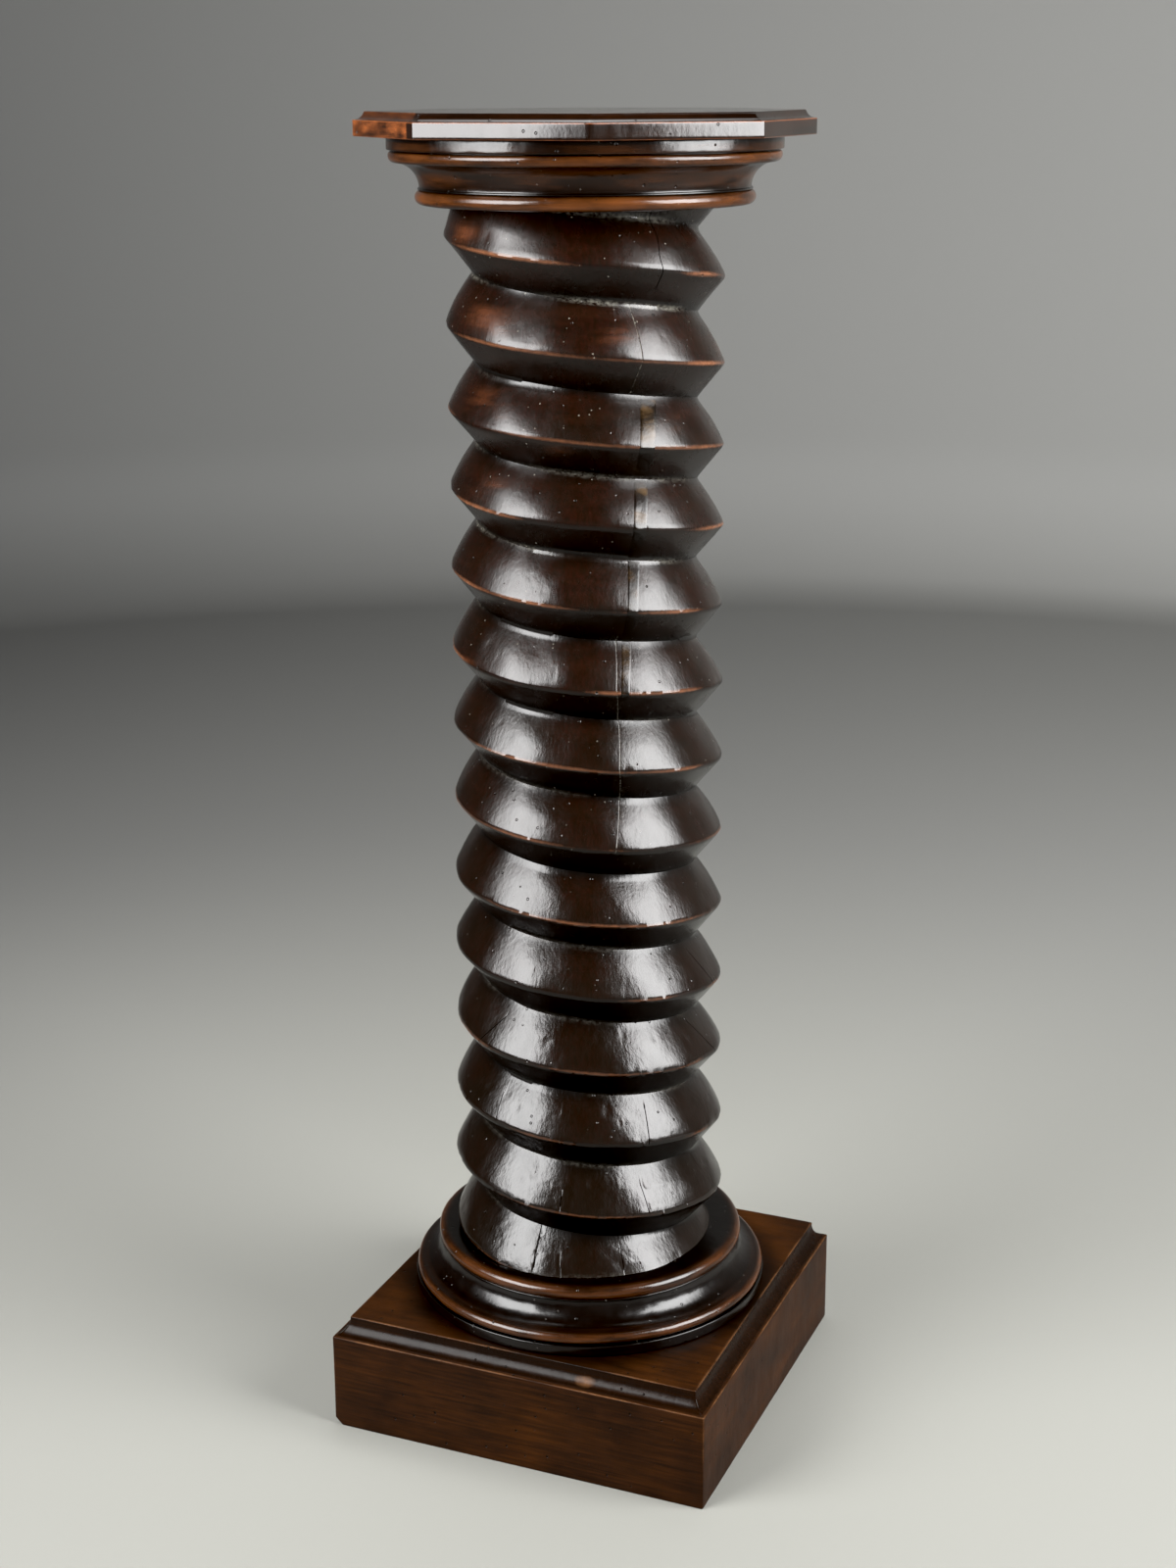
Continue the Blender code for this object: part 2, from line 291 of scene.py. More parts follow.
def round_axis(radius, azimuth, height):
    """Points at the radius, azimuth and height about the vertical axis."""
    return np.stack([radius * np.cos(azimuth), radius * np.sin(azimuth), height], -1)


def push_outward(points, distance):
    """Moves each point level, away from the vertical axis, by its distance."""
    outward = points[:, :2] / np.linalg.norm(points[:, :2], axis=1)[:, None]
    points[:, :2] += outward * distance[:, None]


def ripple(points, wavelength, seed, waves=9):
    """A smooth field over the points, mostly between -1 and 1: sine waves in fixed random directions."""
    rng = np.random.default_rng(seed)
    directions = rng.normal(size=(waves, 3))
    directions /= np.linalg.norm(directions, axis=1)[:, None]
    turns = points @ directions.T * (FULL_TURN / wavelength) * rng.uniform(0.7, 1.4, waves)
    return np.sin(turns + rng.uniform(0, FULL_TURN, waves)).sum(1) / math.sqrt(waves)


def hollow(start, end, sagitta, steps):
    """Points of a circular arc from start to end, both included, bowed to the right of that direction."""
    chord_x, chord_z = end[0] - start[0], end[1] - start[1]
    chord = math.hypot(chord_x, chord_z)
    radius = (chord * chord / 4 + sagitta * sagitta) / (2 * sagitta)
    half_sweep = math.asin(chord / 2 / radius)
    right_x, right_z = chord_z / chord, -chord_x / chord
    points = []
    for step in range(steps + 1):
        turn = half_sweep * (2 * step / steps - 1)
        along = 0.5 + radius * math.sin(turn) / chord
        bow = radius * (math.cos(turn) - math.cos(half_sweep))
        x = start[0] + chord_x * along + right_x * bow
        z = start[1] + chord_z * along + right_z * bow
        points.append((x, z))
    return points


def soften(profile, radius, steps=3):
    """The profile with each corner in it rounded: a quadratic curve that starts and ends radius away."""
    least_turn = math.sin(math.radians(20))
    softened = [profile[0]]
    for before, corner, after in zip(profile, profile[1:], profile[2:]):
        before, corner, after = (np.array(p, float) for p in (before, corner, after))
        into, out = corner - before, after - corner
        turn = abs(into[0] * out[1] - into[1] * out[0]) / (np.linalg.norm(into) * np.linalg.norm(out))
        if turn < least_turn:
            softened.append(tuple(corner))
            continue
        start = corner - into * min(0.45, radius / np.linalg.norm(into))
        end = corner + out * min(0.45, radius / np.linalg.norm(out))
        for step in range(steps + 1):
            share = step / steps
            curve = (1 - share) ** 2 * start + 2 * share * (1 - share) * corner + share**2 * end
            softened.append(tuple(curve))
    softened.append(profile[-1])
    return softened


def densify(profile, spacing):
    """The profile with points added so that none is further than spacing from the next."""
    dense = []
    for start, end in zip(profile, profile[1:]):
        steps = max(1, math.ceil(math.dist(start, end) / spacing))
        start, end = np.array(start), np.array(end)
        dense += [tuple(start + (end - start) * step / steps) for step in range(steps)]
    return dense + [profile[-1]]


def close_columns(rings):
    """Faces of a tube of point rings, with a flat cap on the first ring and on the last."""
    rows, columns = len(rings), len(rings[0])
    index = np.arange(rows * columns).reshape(rows, columns)
    after = np.roll(index, -1, axis=1)
    quads = np.stack([index[:-1], after[:-1], after[1:], index[1:]], -1).reshape(-1, 4)
    return quads.tolist() + [index[0, ::-1].tolist(), index[-1].tolist()]


def fine_mesh(name, points, faces, masks):
    """A mesh and its masks, which are fields over its points, from 0 to 1, that its material reads."""
    mesh = bpy.data.meshes.new(name)
    mesh.from_pydata(points.tolist(), [], faces)
    for mask, values in masks.items():
        layer = mesh.attributes.new(mask, "FLOAT", "POINT")
        layer.data.foreach_set("value", np.ascontiguousarray(np.clip(values, 0, 1), dtype=np.float32))
    return mesh


def cut_solid(mesh, *cuts):
    """Cuts the solid flat at each plane, drops what lies outward of it, and turns all faces outward."""
    bm = bmesh.new()
    bm.from_mesh(mesh)
    for point, outward in cuts:
        whole = bm.verts[:] + bm.edges[:] + bm.faces[:]
        cut = bmesh.ops.bisect_plane(
            bm, geom=whole, dist=1e-6, plane_co=point, plane_no=outward, clear_outer=True
        )
        rim = [item for item in cut["geom_cut"] if isinstance(item, bmesh.types.BMEdge)]
        bmesh.ops.contextual_create(bm, geom=rim)
    bmesh.ops.recalc_face_normals(bm, faces=bm.faces)
    bm.to_mesh(mesh)
    bm.free()


def dress(mesh, node, material):
    """Links the mesh as an object that stands for its CAD node."""
    mesh.shade_smooth()
    mesh.set_sharp_from_angle(angle=math.radians(50))
    mesh.materials.append(material)
    obj = bpy.data.objects.new(mesh.name, mesh)
    bpy.context.scene.collection.objects.link(obj)
    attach(obj, "root")
    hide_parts(node)


def put(tree, kind, inputs=(), out=0, **settings):
    """Adds a node to a material with its settings, and gives one of its outputs.

    The inputs go in order, or by name or number. Each is a value, the output of another node to link, or the
    name of a mask of the mesh.
    """
    node = tree.nodes.new(kind)
    for name, value in settings.items():
        setattr(node, name, value)
    for socket, value in inputs.items() if isinstance(inputs, dict) else enumerate(inputs):
        if isinstance(value, str):
            value = put(tree, "ShaderNodeAttribute", out="Fac", attribute_name=value)
        if isinstance(value, bpy.types.NodeSocket):
            tree.links.new(value, node.inputs[socket])
        else:
            node.inputs[socket].default_value = value
    return node.outputs[out]


def joined(tree, *shares, operation="MULTIPLY"):
    """The shares multiplied, or added, one after the other, and held between 0 and 1."""
    total = shares[0]
    for share in shares[1:]:
        total = put(tree, "ShaderNodeMath", (total, share), operation=operation, use_clamp=True)
    return total


def layered(tree, ground, *coats):
    """The ground's colour under coats, each a share and the colour that it lays over what is there."""
    for share, coat in coats:
        under, over = (c if isinstance(c, bpy.types.NodeSocket) else (*c, 1) for c in (ground, coat))
        ground = put(tree, "ShaderNodeMix", {0: share, 6: under, 7: over}, out=2, data_type="RGBA")
    return ground


def spots(tree, place, pattern):
    """Soft spots of noise, stretched to the pattern's size in mm along X, Y and Z."""
    size, detail, roughness, shift = pattern
    scale = tuple(1 / (s * MM) for s in size)
    moved = {"Vector": place, "Scale": scale, "Location": (shift, shift * 0.7, -shift)}
    scaled = put(tree, "ShaderNodeMapping", moved)
    noise = {"Vector": scaled, "Scale": 1.0, "Detail": detail, "Roughness": roughness}
    return put(tree, "ShaderNodeTexNoise", noise)


def dots(tree, place, pattern, mask):
    """Small round dots in some of the places of an uneven grid, as strong as the mask is there."""
    spacing, width, kept = pattern
    cells = {"Vector": place, "Scale": 1 / (spacing * MM), "Randomness": 1.0}
    distance = put(tree, "ShaderNodeTexVoronoi", cells, feature="F1")
    inner, outer = width / spacing * 0.5, width / spacing * 0.9
    near = put(tree, "ShaderNodeMapRange", (distance, inner, outer, 1.0, 0.0))
    draw = put(tree, "ShaderNodeSeparateColor", (distance.node.outputs["Color"],))
    chosen = put(tree, "ShaderNodeMapRange", (draw, kept, kept - 0.01))
    return joined(tree, near, chosen, mask)


def new_material(name):
    """An empty node material and its Principled shader."""
    material = bpy.data.materials.new(name)
    material.use_nodes = True
    tree = material.node_tree
    return material, tree, tree.nodes["Principled BSDF"]


def polished_wood(
    name, tones, grain, worn, gloss, shine, amber, pale=DUST, streak=None, pores=0.3, dull=0.0, waver=0.4
):
    """Old hardwood under dark stain and many coats of polish.

    The stain is black in the hollows and thins to red brown where hands and dusters rub, and a mask of dirt
    and painted shade darkens it further in cracks and creases, where parts meet and on faces turned down. The
    polish lies over it as a clear coat, so the lights show as soft bright bands with a fine waver, and bare
    tan wood shows on the arrises. grain and streak are the sizes of the fibres and of the scraper's marks in
    mm along X,
    Y and Z. The fibres are drawn coarser than real ones, which are too fine to show.

    tones are the wood in the hollows, on plain surfaces and where the stain has thinned, and worn is the bare
    wood. gloss is the roughness low down, where the polish is whole, and high up, where it is scuffed. shine
    is the specular level of the wood and the weight of the coat. amber is how much wood shows where the stain
    has thinned, and pale is the colour of wax and flecks. pores, waver and dull are how deep the grain is,
    how deep the waver is, and how much rougher the wax makes the polish.
    """
    dark, brown, rubbed = tones
    material, tree, shader = new_material(name)
    place = put(tree, "ShaderNodeTexCoord", out="Object")
    fibres = spots(tree, place, (grain, 4.0, 0.6, 0.0))
    swell = spots(tree, place, PLANING_SWELL)
    holes = dots(tree, place, WORM_HOLES, "pits")
    flecks = dots(tree, place, PALE_FLECKS, "flecks")
    # Each pattern or mask with the two values of it that become 0 and 1, or else what they become.
    limits = {
        "fibres": (fibres, 0.3, 0.72),
        "thin fibres": (fibres, 0.2, 0.75, amber * 0.55, amber),
        "thinned": (spots(tree, place, THINNED_STAIN), 0.4, 0.66, 0.1, 1.0),
        "stains": (spots(tree, place, DARK_STAINS), 0.42, 0.66),
        "chafed": (spots(tree, place, CHAFED_EDGES), 0.25, 0.75, 0.5, 1.1),
        "crust": (spots(tree, place, WAX_CRUST), 0.4, 0.62),
        "scuffs": (spots(tree, place, SCUFFS), 0.35, 0.7, 0, 0.09),
        "browner": ("high", 0, 1, 0.35, 1),
        "gloss": ("high", 0, 1, *gloss),
    }
    share = {name: put(tree, "ShaderNodeMapRange", values) for name, values in limits.items()}
    film = joined(tree, "wax", share["crust"])
    rub = joined(tree, "wear", share["chafed"])
    base = layered(
        tree,
        dark,
        (joined(tree, share["fibres"], share["browner"]), brown),
        (joined(tree, share["stains"], 0.7), dark),
        (joined(tree, share["thinned"], "thin", share["thin fibres"]), rubbed),
        # Dirt, and painted shade in creases, where parts meet and on faces turned down, laid on as nearly
        # black.
        (joined(tree, "grime_and_shade", 0.9), tuple(c * 0.2 for c in dark)),
        (put(tree, "ShaderNodeMapRange", (rub, 0.1, 0.8)), worn),
        (film, pale),
        (joined(tree, flecks, 0.55), pale),
        (joined(tree, holes, 0.95), HOLE_BLACK),
    )
    tree.links.new(base, shader.inputs["Base Color"])

    rough = joined(tree, share["gloss"], share["scuffs"], joined(tree, film, dull), operation="ADD")
    tree.links.new(rough, shader.inputs["Roughness"])
    shader.inputs["IOR"].default_value = POLISH_IOR
    shader.inputs["Specular IOR Level"].default_value = shine[0]
    shader.inputs["Coat Weight"].default_value = shine[1]
    shader.inputs["Coat Roughness"].default_value = COAT_ROUGHNESS
    shader.inputs["Coat IOR"].default_value = POLISH_IOR

    # Each relief is a pattern, how strong it is, its height in mm, and whether it goes in.
    reliefs = [(swell, waver, 0.8, False), (fibres, pores, 0.2, False), (holes, 0.8, 0.8, True)]
    if streak:
        marks = spots(tree, place, (streak, 3.0, 0.6, 27.0))
        depth = put(tree, "ShaderNodeMapRange", ("high", 0, 1, 0.4, 0.15))
        reliefs.insert(1, (marks, depth, 0.6, False))
    surface = {}
    for pattern, strength, height, sunk in reliefs:
        surface.update({"Height": pattern, "Strength": strength, "Distance": height * MM})
        surface["Normal"] = put(tree, "ShaderNodeBump", surface, invert=sunk)
    tree.links.new(surface["Normal"], shader.inputs["Normal"])
    tree.links.new(surface["Normal"], shader.inputs["Coat Normal"])
    return material


def crack_lines():
    """Each crack's levels from the foot up, its bearings there, their mean, half its width, and if glued."""
    for path, half_width, glued in CRACKS:
        levels = np.array([level for _bearing, level in path])[::-1]
        bearings = np.radians([bearing for bearing, _level in path])[::-1]
        yield levels, bearings, (bearings[0] + bearings[-1]) / 2, half_width * MM, glued


def crack_fields(azimuth, height):
    """How open the bare cracks are at each place on the screw, and how full the glued ones, from 0 to 1."""
    radius = pedestal().screw.crest_head
    bare, glue = np.zeros_like(height), np.zeros_like(height)
    for levels, bearings, _middle, half_width, glued in crack_lines():
        off = np.abs(wrapped(azimuth - np.interp(height, levels, bearings))) * radius
        foot_end = step_up(height, levels[0] - 2 * MM, levels[0] + 6 * MM)
        head_end = 1 - step_up(height, levels[-1] - 6 * MM, levels[-1] + 2 * MM)
        mark = np.clip(1 - off / half_width, 0, 1) * foot_end * head_end
        field = glue if glued else bare
        np.maximum(field, mark, out=field)
    return bare, glue


def thread_depth(along):
    """How far the worn vee lies under its crest at each place along a pitch."""
    s = pedestal().screw
    up = along * s.depth / s.upper_flank
    down = (s.pitch - along) * s.depth / (s.pitch - s.upper_flank)
    depth = smooth_min(up, down, s.root_fillet)
    depth -= s.flank_bulge * np.sin(math.pi * np.clip(along / s.upper_flank, 0, 1))
    return np.sqrt(np.maximum(depth, 0) ** 2 + s.crest_wear**2) - s.crest_wear


def thread_surface(azimuth, height):
    """Radius of the worn thread at each azimuth and height, and how far along a pitch each point is."""
    s = pedestal().screw
    foot, head = (corner.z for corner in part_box("press_screw"))
    around = round_axis(s.crest_head, azimuth, height)
    leftward = np.clip(np.cos(azimuth - LEFT_OF_VIEW), 0, 1)
    low_down = 1 - step_up(height, foot, foot + 0.35)

    # The hand-cut thread strays, is cut higher near the capital, and runs out under it on the left.
    head_lift, runout_share = 3.2 * MM, 0.45
    stray = s.waver * ripple(around, 210 * MM, seed=4)
    stray = stray + head_lift * step_up(height, head - 0.134, head - 0.078)
    crest = foot + s.crest_rise - s.pitch * azimuth / FULL_TURN + stray
    along = (height - crest) % s.pitch
    to_crest = np.minimum(along, s.pitch - along)
    runout = step_up(height, head - s.head_runout, head) * leftward
    depth = thread_depth(along) * (1 - runout_share * runout)

    # The shaft is thicker towards its foot, swells on the left near its head, and was never quite round.
    head_swell = 1.8 * MM
    share = np.clip(1 - (height - foot) / (head - foot), 0, 1)
    radius = s.crest_head + (s.crest_foot - s.crest_head) * share**2
    radius += head_swell * step_up(height, head - 0.16, head) * leftward
    radius += 0.35 * MM * ripple(around, 46 * MM, seed=11) + 0.5 * MM * ripple(around, 130 * MM, seed=12)

    # Knocks: nicks along the crest, and dents on the flanks, most of them low down.
    nick_depth, dent_depth = 1.0 * MM, 0.9 * MM
    nicks = np.clip(ripple(around, 15 * MM, seed=13) - 1.1, 0, 1) + 0.12 * ripple(around, 8 * MM, seed=14)
    radius -= nick_depth * nicks * bell(to_crest, 2.4 * MM)
    dents = np.clip(ripple(around, 13 * MM, seed=15) - 0.9, 0, 1) * (0.2 + 0.8 * low_down)
    dents = dents + 0.13 * low_down * ripple(around, 9 * MM, seed=16)
    radius -= dent_depth * dents * step_up(np.abs(along - s.upper_flank), 2 * MM, 9 * MM)
    return radius - depth, along


def thread_rows(count):
    """Where the rows of points lie along one pitch: close together at the crest and at the root."""
    s = pedestal().screw
    samples = np.linspace(0, s.pitch, 2000)
    to_crest = np.minimum(samples, s.pitch - samples)
    to_root = np.abs(samples - s.upper_flank)
    density = 1 + 3.5 * bell(to_crest, 2.2 * MM) + 1.2 * bell(to_root, 4 * MM)
    total = np.concatenate([[0], np.cumsum(density[:-1])])
    return np.interp(np.arange(count) * total[-1] / count, total, samples)


def view_columns(count):
    """Azimuths of the columns of points, once round from the side away from the view, closer in the view."""
    even = np.linspace(-math.pi, math.pi, count, endpoint=False)
    return VIEW_AZIMUTH + even - 0.38 * np.sin(even)


def crack_columns(columns):
    """The azimuths with five more beside each crack, so that its sides have points of their own."""
    radius = pedestal().screw.crest_head
    extra = []
    for _levels, _bearings, middle, half_width, _glued in crack_lines():
        home = (middle - columns[0]) % FULL_TURN + columns[0]
        outer = half_width + 0.5 * MM
        extra += [home + side / radius for side in (-outer, -half_width, 0, half_width, outer)]
    spacing = 0.4 * FULL_TURN / len(columns)
    kept = [c for c in columns if min(abs(c - e) for e in extra) > spacing]
    return np.array(sorted(kept + extra))


def follow_cracks(azimuth, height):
    """Moves columns of points sideways so that those beside a crack run along it."""
    moved = azimuth.copy()
    for levels, bearings, middle, _half_width, _glued in crack_lines():
        off = np.maximum(np.abs(wrapped(azimuth - middle)) - 0.01, 0)
        near = step_up(height, levels[0] - 25 * MM, levels[0] - 3 * MM)
        near *= 1 - step_up(height, levels[-1] + 3 * MM, levels[-1] + 25 * MM)
        moved += (np.interp(height, levels, bearings) - middle) * bell(off, 0.2) * near
    return moved


def rubbed_wood(points):
    """Where the stain on the screw has thinned to orange brown, from 0 up."""
    bare = np.zeros(len(points))
    for bearing, level, reach in RUBBED_PLACES:
        middle = round_axis(pedestal().screw.crest_head, math.radians(bearing), level)
        off = (points - middle) / np.array([reach * 1.4, reach * 1.4, reach * 0.6]) / MM
        bare += np.exp(-(off**2).sum(1))
    return bare


def screw_mesh(name, columns, rows):
    """The threaded shaft with its masks for worn crests, old wax, and dirt and painted shade in the cracks,
    the roots and on the lower flanks.
    """
    s = pedestal().screw
    foot, head = (corner.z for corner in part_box("press_screw"))
    azimuths = crack_columns(view_columns(columns))
    columns = len(azimuths)
    along = thread_rows(rows)
    turns = math.ceil((head - foot) / s.pitch) + 3
    rises = (np.arange(turns)[:, None] * s.pitch + along[None, :]).reshape(-1) - 2 * s.pitch
    azimuth = np.repeat(azimuths, len(rises))
    height = np.tile(rises, columns) + foot + s.crest_rise - s.pitch * azimuth / FULL_TURN
    height += s.pitch * azimuths[0] / FULL_TURN
    azimuth = follow_cracks(azimuth, height)
    radius, phase = thread_surface(azimuth, height)
    crack, glue = crack_fields(azimuth, height)
    radius -= CRACK_DEPTH * crack + GLUED_DEPTH * glue
    points = round_axis(radius, azimuth, height)

    # The rows follow the thread, so after a full turn each meets the first column one pitch lower.
    index = np.arange(len(points)).reshape(columns, len(rises))
    seam = np.full(len(rises), -1)
    seam[rows:] = index[0, :-rows]
    grid = np.vstack([index, seam])
    quads = np.stack([grid[:-1, :-1], grid[1:, :-1], grid[1:, 1:], grid[:-1, 1:]], -1).reshape(-1, 4)
    quads = quads[(quads >= 0).all(1)]

    to_crest = np.minimum(phase, s.pitch - phase)
    to_root = np.abs(phase - s.upper_flank)
    upward = phase < s.upper_flank
    tops = step_up(height, foot, head)
    side = wrapped(azimuth - VIEW_AZIMUTH)
    # Wax and dust packed against the capital and the base, and a thin pale line in the root.
    crust = step_up(height, head - 14 * MM, head - 2 * MM) * bell(side - 0.5, 0.55)
    crust += step_up(-height, -foot - 3 * MM, -foot) * bell(side - 0.1, 0.6)
    root_line = bell(phase - s.upper_flank + 0.8 * MM, 0.6 * MM)
    waxed = step_up(height, foot + 0.5, head - 0.1)
    masks = {
        "wear": bell(to_crest, 0.7 * MM) * (0.3 + 0.5 * tops),
        # Dirt and painted shade in the cracks and round the roots, and painted shade on the lower flanks,
        # which face down, most of all low down.
        "grime_and_shade": 2 * crack + bell(to_root, 6 * MM) * 0.7 + (~upward) * (0.9 - 0.5 * tops),
        "wax": 1.5 * glue + root_line * (0.1 + 0.35 * waxed) + 0.08 * crust,
        "thin": 0.75 * rubbed_wood(points) + 0.05 * tops * (0.5 + 0.5 * upward),
        "pits": 0.4 + 0.6 * (ripple(points, 90 * MM, seed=61) > 0.2),
        "flecks": crust + tops * (ripple(points, 80 * MM, seed=62) > -0.3),
        "high": tops,
    }
    mesh = fine_mesh(name, points, quads.tolist(), masks)
    cut_solid(mesh, ((0, 0, foot), (0, 0, -1)), ((0, 0, head), (0, 0, 1)))
    return mesh


def strip_surface(across, height):
    """How far out the thread's surface is along the groove, at a distance across it and a height."""
    p = pedestal().strip
    depth = np.full_like(height, pedestal().screw.crest_head)
    for _ in range(8):
        azimuth = p.azimuth + np.arctan2(across, depth)
        radius, _along = thread_surface(azimuth, height)
        depth = np.sqrt(np.maximum(radius**2 - across**2, 0))
    return depth


def turned_profile():
    """The moulding from its torus up to its fascia, as radius and height, and its whole height."""
    m = pedestal().moulding
    low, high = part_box("base_moulding")
    total = high.z - low.z
    half = m.torus_height / 2
    centre = m.torus_radius - half
    outline = [(centre - half * 1.2, 0)]
    for step in range(13):
        turn = math.pi * step / 12 - math.pi / 2
        outline.append((centre + half * math.cos(turn), half * (1 + math.sin(turn))))
    level = m.torus_height
    outline[-1] = (m.fillet_radius - 1.2 * MM, level - 0.3 * MM)
    outline.append((m.fillet_radius, level))
    level += m.fillet_height
    neck = (m.neck_radius, level)
    level += m.cove_height
    bead_foot = (m.bead_inner, level)
    outline.append((m.fillet_radius - 0.2 * MM, neck[1]))
    outline += reversed(hollow(bead_foot, neck, m.cove_sagitta, 14))
    swell = m.bead_radius - m.bead_inner
    lean = m.quirk_radius - m.bead_inner
    for step in range(1, 9):
        turn = math.pi * step / 8 - math.pi / 2
        along = step / 8
        spot = m.bead_inner + lean * along + (swell - lean / 2) * math.cos(turn)
        outline.append((spot, level + m.bead_height * (1 + math.sin(turn)) / 2))
    level += m.bead_height
    outline.append((m.quirk_radius - 0.6 * MM, level + m.quirk_height / 2))
    level += m.quirk_height
    outline += [(m.fascia_radius, level), (m.fascia_radius, total), (m.torus_radius, total)]
    return outline, total


def turned_piece(name, node, upside_down, material):
    """A moulding as turned on a lathe, with dents and a slight waver, and its masks."""
    m = pedestal().moulding
    outline, total = turned_profile()
    outline = densify(soften(outline, m.arris), 2.0 * MM)
    radii = np.array([p[0] for p in outline])
    heights = np.array([p[1] for p in outline])
    neck = m.torus_height + m.fillet_height
    bead_foot = neck + m.cove_height
    quirk = bead_foot + m.bead_height + m.quirk_height / 2
    torus = heights < m.torus_height
    bead = (heights > bead_foot - 1 * MM) & (heights < bead_foot + m.bead_height)
    thin = bell(radii - m.torus_radius, 4.2 * MM) * torus
    thin += bell(radii - m.bead_radius, 2.6 * MM) * bead
    if upside_down:
        thin += 0.45 * step_up(heights, neck, neck + m.cove_height * 0.4) * (heights < total - 3 * MM) * ~bead
    wear = (0.3 if upside_down else 0.12) * thin * (torus | bead)
    # Painted shade in the crease under the neck, in the quirk and on the flat face of the torus next to the
    # screw; the stain is also darker over the cavetto and the fascia, far more on the base.
    grime_and_shade = 0.9 * bell(heights - neck + 1 * MM, 1.6 * MM)
    grime_and_shade += bell(heights - quirk, 1.3 * MM)
    grime_and_shade += (0.2 if upside_down else 0.75) * (heights > neck) * ~bead
    grime_and_shade += step_up(-radii, -m.torus_radius + 5 * MM, -m.torus_radius + 11 * MM) * torus
    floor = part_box(node)[0].z
    if not upside_down:
        radii, heights = radii[::-1], (total - heights)[::-1]
        wear, grime_and_shade, thin = wear[::-1], grime_and_shade[::-1], thin[::-1]
    azimuths = view_columns(256)
    azimuth = np.tile(azimuths, len(radii))
    bands = (radii, heights, wear, grime_and_shade, thin)
    radius, height, wear, grime_and_shade, thin = (np.repeat(band, len(azimuths)) for band in bands)
    spot = round_axis(radius, azimuth, height + floor)
    radius = radius + 0.22 * MM * ripple(spot, 90 * MM, seed=31) + 0.08 * MM * ripple(spot, 17 * MM, seed=32)
    points = round_axis(radius, azimuth, height + floor)
    masks = {
        "wear": wear * (0.8 + 0.25 * ripple(spot, 60 * MM, seed=33)),
        "grime_and_shade": grime_and_shade * 0.9,
        "thin": thin * (1.0 if upside_down else 0.75),
        "pits": np.full(len(radius), 0.8),
        "flecks": np.full(len(radius), 0.3),
        "high": np.full(len(radius), 0.35),
    }
    rings = points.reshape(len(radii), len(azimuths), 3)
    dress(fine_mesh(name, points, close_columns(rings), masks), node, material)


def polygon_ring(sides, apothem, corner, per_side, turn):
    """A closed ring of points on a regular polygon with rounded corners, in order round it."""
    half_corner = math.pi / sides
    half_side = apothem * math.tan(half_corner)
    trim = corner * math.tan(half_corner)
    centre = (apothem - corner) / math.cos(half_corner)
    ring = []
    for side in range(sides):
        facing = turn + FULL_TURN * side / sides
        outward = np.array([math.cos(facing), math.sin(facing)])
        sideways = np.array([-outward[1], outward[0]])
        for share in np.linspace(-1, 1, per_side):
            ring.append(outward * apothem + sideways * share * (half_side - trim))
        corner_facing = facing + half_corner
        spot = centre * np.array([math.cos(corner_facing), math.sin(corner_facing)])
        for step in range(1, 4):
            bearing = facing + FULL_TURN / sides * step / 4
            ring.append(spot + corner * np.array([math.cos(bearing), math.sin(bearing)]))
    return np.array(ring)


def coved_block(block, half, low, high, sides, per_side, turn, steps, lip, inward, spacing):
    """Rings of points of a polygonal block with a cove round its upper edge, and how far in each point is.

    block holds the settings of the face, the cove and the arris, and half is the block from its axis to a
    side. steps are the cove's, lip is how far its upper arris rolls over, and inward is how far in the points
    on the lower and the upper face go. spacing is the widest gap between the rings.
    """
    cove_foot = (half - block.ledge, low + block.face_height)
    cove_head = (half - block.cove_inset, high - block.nosing)
    outline = [(half - inward[0], low), (half, low), (half, low + block.face_height)]
    outline += reversed(hollow(cove_head, cove_foot, block.cove_sagitta, steps))
    outline += [(cove_head[0] - lip, high), (cove_head[0] - inward[1], high)]
    outline = densify(soften(outline, block.arris), spacing)
    rings = []
    for apothem, height in outline:
        ring = polygon_ring(sides, apothem, block.arris, per_side, turn)
        rings.append(np.column_stack([ring, np.full(len(ring), height)]))
    insets = np.repeat([half - apothem for apothem, _height in outline], len(rings[0]))
    return np.array(rings), insets


